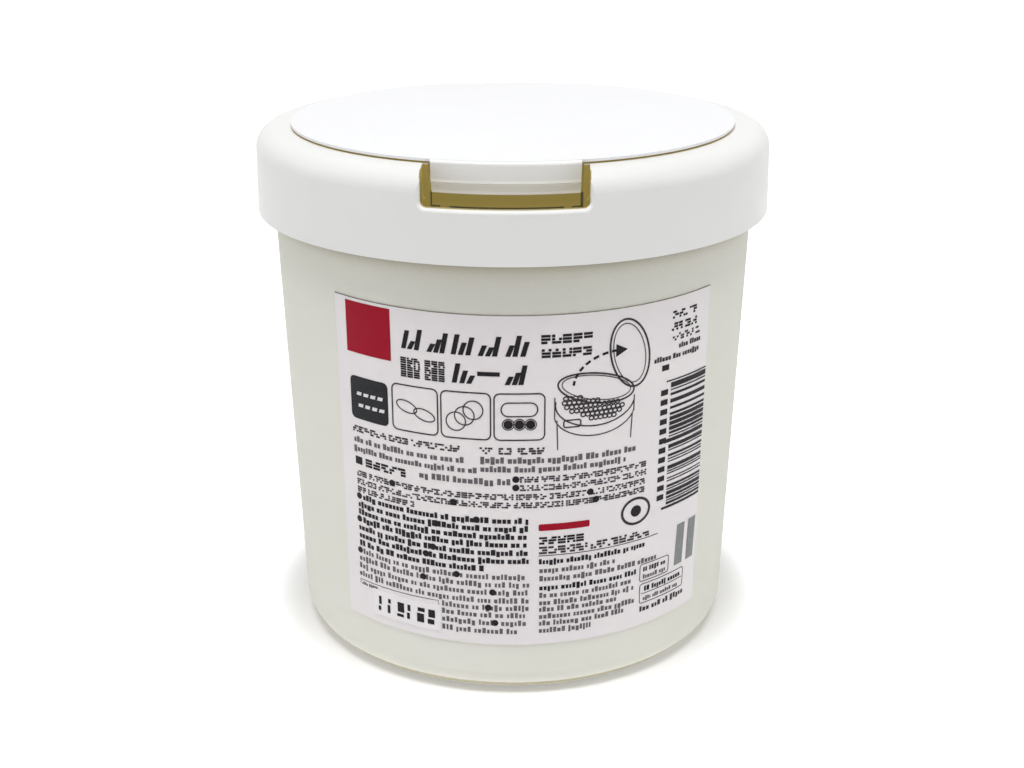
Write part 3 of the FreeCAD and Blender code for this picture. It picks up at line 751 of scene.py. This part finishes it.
# Lot field and the bold marks on the sticker: each mark's width and where it is split
MARKS = ((0.6, 1.1), (0.6, 1.9), (1.4, 0.8), (0.6, 1.5), (1.4, 2.0), (1.3, 1.2))
MARK_LOW, MARK_HIGH, MARK_GAP = -28.7, -25.7, 0.2
fine.stroke([(-33.4, -24.6), (-33.4, -23.75), (-16.4, -23.55), (-16.3, -24.4)], 0.12)
soft.line_of_blocks(-33.0, -29.2, -24.45, 0.6, 131)
for index, (width, split) in enumerate(MARKS):
    x = -29.0 + index * 2.1
    stamp.block(x, x + width, MARK_LOW, MARK_LOW + split - MARK_GAP)
    stamp.block(x + 0.15, x + 0.15 + width, MARK_LOW + split + MARK_GAP, MARK_HIGH)

for piece in (black, soft, fine, red, charcoal, grey, pale, bars, stamp):
    piece.make()


def button_lower_edge():
    """Last strip of the button's front, which reaches a little lower than the solid."""
    half = math.asin(STRIP_HALF_WIDTH / STRIP_RADII[1])
    vertices, faces = [], []
    for i in range(STRIP_STEPS + 1):
        turn = -half + 2.0 * half * i / STRIP_STEPS
        for radius in STRIP_RADII:
            x, y = radius * MM * math.sin(turn), -radius * MM * math.cos(turn)
            vertices += [(x, y, height * MM) for height in STRIP_HEIGHTS]
    for i in range(STRIP_STEPS):
        a, b = 4 * i, 4 * i + 4
        faces += [(a, b, b + 1, a + 1), (a + 2, a + 3, b + 3, b + 2)]
        faces += [(a, a + 2, b + 2, b), (a + 1, b + 1, b + 3, a + 3)]
    last = 4 * STRIP_STEPS
    faces += [(0, 1, 3, 2), (last, last + 2, last + 3, last + 1)]
    piece = new_object("button_lower_edge", vertices, faces, MATERIALS["push_button"])
    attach(piece, "button")


button_lower_edge()


# Floor, light and camera, in metres

WHITE = (1.0, 1.0, 1.0, 1.0)
LAMP_AIM = (0.0, 0.0, 0.09)
SIDE_AIM = (0.0, 0.0, 0.06)
# The floor's glow for the camera, near the foot and from a little way out
FOOT_EDGE, SHADOW_END = 0.0435, 0.06
FOOT_GLOW, FLOOR_GLOW = 0.08, 0.96
FLOOR_HALF = 6.0
WORLD_LIGHT = 0.26
CAMERA_PLACE = (0.00797, -0.28077, 0.1491)
CAMERA_DEGREES = (90.0 - 20.29, 0.09, 1.64)
CAMERA_LENS, CAMERA_SENSOR = 52.73, 36.0


def lamp(name, place, aim, size, power):
    """Soft rectangular lamp that looks at a point."""
    data = bpy.data.lights.new(name, "AREA")
    data.shape = "RECTANGLE"
    data.size, data.size_y = size
    data.energy = power
    thing = bpy.data.objects.new(name, data)
    thing.location = place
    thing.rotation_euler = (Vector(aim) - Vector(place)).to_track_quat("-Z", "Y").to_euler()
    bpy.context.scene.collection.objects.link(thing)


def seen_white(nodes, links):
    """1 for the camera, and for what mirrors or lets it through, and 0 for all other rays."""
    path = nodes.new("ShaderNodeLightPath")
    seen = path.outputs["Is Camera Ray"]
    for ray in ("Is Glossy Ray", "Is Transmission Ray"):
        either = nodes.new("ShaderNodeMath")
        either.operation = "MAXIMUM"
        links.new(seen, either.inputs[0])
        links.new(path.outputs[ray], either.inputs[1])
        seen = either.outputs[0]
    return seen


def floor():
    """White sheet of paper under the object that keeps its shadow."""
    tree = Tree("floor_paper")
    light, cloudy = linear(244, 244, 244), linear(241, 241, 242)
    clouds = tree.spread(tree.noise(6.0), 0.0, 1.0)
    tree.link(tree.mix(clouds, light, cloudy), tree.shader.inputs["Base Color"])
    tree.link(tree.spread(tree.noise(900.0), 0.85, 0.95), tree.shader.inputs["Roughness"])
    tree.shader.inputs["Specular IOR Level"].default_value = 0.1
    tree.shader.inputs["Emission Color"].default_value = WHITE
    glow = tree.ramp(tree.place()[3], FOOT_EDGE, SHADOW_END, FOOT_GLOW, FLOOR_GLOW)
    glow = tree.calc("MULTIPLY", seen_white(tree.nodes, tree.links), glow)
    tree.link(glow, tree.shader.inputs["Emission Strength"])
    half = FLOOR_HALF
    corners = [(-half, -half, 0), (half, -half, 0), (half, half, 0), (-half, half, 0)]
    thing = new_object("floor", corners, [(0, 1, 2, 3)], tree.material)


def world():
    """Even white surroundings; the camera sees them as white."""
    surroundings = bpy.data.worlds.new("studio")
    surroundings.use_nodes = True
    nodes, links = surroundings.node_tree.nodes, surroundings.node_tree.links
    back = nodes["Background"]
    back.inputs["Color"].default_value = WHITE
    level = nodes.new("ShaderNodeMapRange")
    level.inputs["To Min"].default_value = WORLD_LIGHT
    level.inputs["To Max"].default_value = 1.0
    links.new(seen_white(nodes, links), level.inputs["Value"])
    links.new(level.outputs["Result"], back.inputs["Strength"])
    bpy.context.scene.world = surroundings


floor()
world()
lamp("lamp_top", (0.0, -0.29, 1.02), LAMP_AIM, (0.7, 0.3), 7.9)
for name, x in (("lamp_side_left", -0.95), ("lamp_side_right", 0.95)):
    lamp(name, (x, -0.1, 0.4), SIDE_AIM, (0.7, 0.6), 1.4)

camera_data = bpy.data.cameras.new("camera")
camera_data.sensor_width = CAMERA_SENSOR
camera_data.lens = CAMERA_LENS
camera_data.clip_start = 0.01
camera = bpy.data.objects.new("camera", camera_data)
camera.location = CAMERA_PLACE
camera.rotation_euler = [math.radians(angle) for angle in CAMERA_DEGREES]
bpy.context.scene.collection.objects.link(camera)
bpy.context.scene.camera = camera
bpy.context.scene.view_settings.view_transform = "Standard"

bpy.context.view_layer.update()
